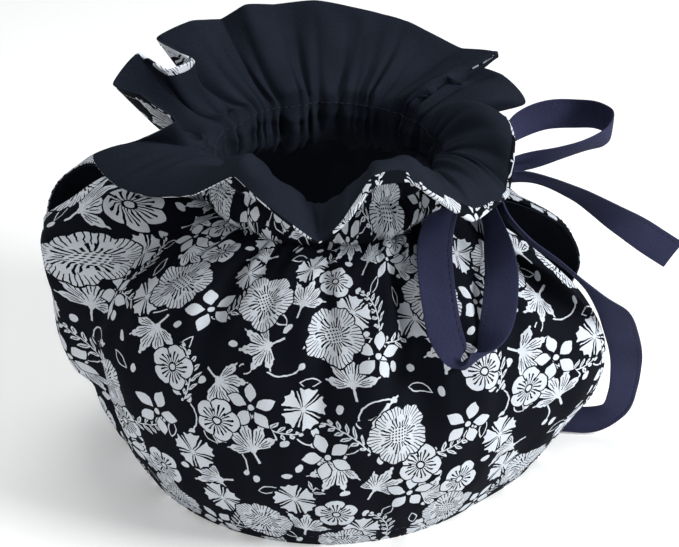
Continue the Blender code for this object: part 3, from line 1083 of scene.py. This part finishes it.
def clothLine(sheet, around, length, offset):
    # A line on the sheet, and the direction away from the cloth there.
    lip = np.where(around < 0.5, -1.0, 1.0)
    puff, shift = sheet["puff"], sheet["shift"]
    line = clothLayer(around, lip, length, offset, puff, shift)
    out = clothLayer(around, lip, length, offset + 1.0, puff, shift) - line
    return line, out if offset > 0 else -out


def makeStitches(dark, pale):
    around = np.linspace(0.001, 0.999, 1600)
    proud, inside = 0.05, -1.15
    lower, upper, edge = cosy["lowerStitch"], cosy["upperStitch"], cosy["freeEdge"]
    made = []
    for name, length, offset, sheet, finish, slot in (
        ("hem_stitches", 8.0, proud, printSheet, dark, "print_cloth"),
        ("lower_stitches", lower, proud, printSheet, dark, "print_cloth"),
        ("upper_stitches", upper, proud, printSheet, dark, "print_cloth"),
        ("inner_stitches", upper, inside, liningSheet, dark, "lining_cloth"),
        ("edge_stitches", edge - 1.6, proud, printSheet, pale, "print_cloth"),
    ):
        line, out = clothLine(sheet, around, np.full(around.shape, length), offset)
        made.append(stitchRow(name, line, out, finish))
    up = np.linspace(4, 168, 300)
    for name, place in sewing["slitEdges"]:
        line, out = clothLine(printSheet, np.full(up.shape, place), up, proud)
        made.append(stitchRow(name, line, out, dark))
    return made


def makeTapeStitches(name, finish):
    # Along the tape's stitched edge, on its face.
    route = bow["routes"][name]
    share = np.array([[bow["hem"]]])
    up = np.array([[bow["thick"] / 2 * 0.62]])
    line = tapeSpot(route, 1.0, share, up)[1][3:-3, 0]
    out = tapeSpot(route, 1.0, share, up + 1)[1][3:-3, 0] - line
    return stitchRow(name + "_stitches", line, out, finish)


# The camera, the floor and the light.
studio = {
    "lookAt": (-0.0184, 0.0, 0.07),
    "away": 0.8,
    "above": 32.0,
    "lens": 93.3,
    "shift": (0.0184, 0.039),
    "floor": (0.92, 0.92, 0.91, 1),
    "floorGlow": 0.22,
    "sky": (0.9, 0.93, 0.96, 1),
    "skyStrength": 0.2,
    "lamps": (  # place, size, watts, colour
        ((0.95, -0.35, 0.7), 0.4, 15.0, (0.97, 0.99, 1.0)),
        ((-0.6, -0.75, 0.5), 0.8, 2.4, (1.0, 0.97, 0.94)),
        ((-0.1, 0.35, 1.0), 0.6, 5.0, (0.98, 0.99, 1.0)),
    ),
}


def aim(made, place, target):
    made.location = place
    toward = Vector(target) - Vector(place)
    made.rotation_euler = toward.to_track_quat("-Z", "Y").to_euler()
    bpy.context.scene.collection.objects.link(made)


def makeCamera():
    camera = bpy.data.objects.new("camera", bpy.data.cameras.new("camera"))
    tilt = np.radians(studio["above"])
    away = studio["away"] * np.array((0, -np.cos(tilt), np.sin(tilt)))
    aim(camera, np.array(studio["lookAt"]) + away, studio["lookAt"])
    camera.data.lens = studio["lens"]
    camera.data.shift_x, camera.data.shift_y = studio["shift"]
    camera.data.clip_start = 0.01
    bpy.context.scene.camera = camera
    bpy.context.scene.view_settings.view_transform = "Standard"


def makeStudio():
    mesh = bpy.data.meshes.new("floor")
    corners = [(x * 3.0, y * 3.0, 0.0) for x, y in ((-1, -1), (1, -1), (1, 1), (-1, 1))]
    mesh.from_pydata(corners, [], [(0, 1, 2, 3)])
    finish, shader, start = startMaterial("paleFloor")
    values = {"Base Color": studio["floor"], "Roughness": 0.7, "Emission Strength": studio["floorGlow"]}
    setSockets(start.tree, shader, values)
    mesh.materials.append(finish)
    floor = bpy.data.objects.new("floor", mesh)
    bpy.context.scene.collection.objects.link(floor)
    world = bpy.data.worlds.new("sky")
    world.use_nodes = True
    sky = world.node_tree.nodes["Background"]
    sky.inputs["Color"].default_value = studio["sky"]
    sky.inputs["Strength"].default_value = studio["skyStrength"]
    bpy.context.scene.world = world
    for number, (place, size, watts, colour) in enumerate(studio["lamps"]):
        lamp = bpy.data.lights.new(f"lamp{number}", "AREA")
        lamp.size, lamp.energy, lamp.color = size, watts, colour
        aim(bpy.data.objects.new(lamp.name, lamp), place, (0, 0, 0.08))


for old in list(bpy.data.objects):
    if old.name in ("Cube", "Light", "Camera"):
        bpy.data.objects.remove(old)

print("camera and studio")
makeCamera()
makeStudio()

print("finishes")
printFinish = printMaterial()
liningFinish = plainMaterial("liningCotton")
tapeFinish = plainMaterial("tapeCotton")
darkThread = plainMaterial("darkThread")
paleThread = plainMaterial("paleThread")

print("cloth")
printCloth = makePrint(printFinish)
liningCloth = makeLining(liningFinish)

print("bow")
tapes = {name: makeTape(name, tapeFinish) for name in bow["routes"]}
wraps = makeKnot(tapeFinish)

print("stitches")
clothStitches = makeStitches(darkThread, paleThread)
tapeStitches = {name: makeTapeStitches(name, darkThread) for name in bow["routes"]}
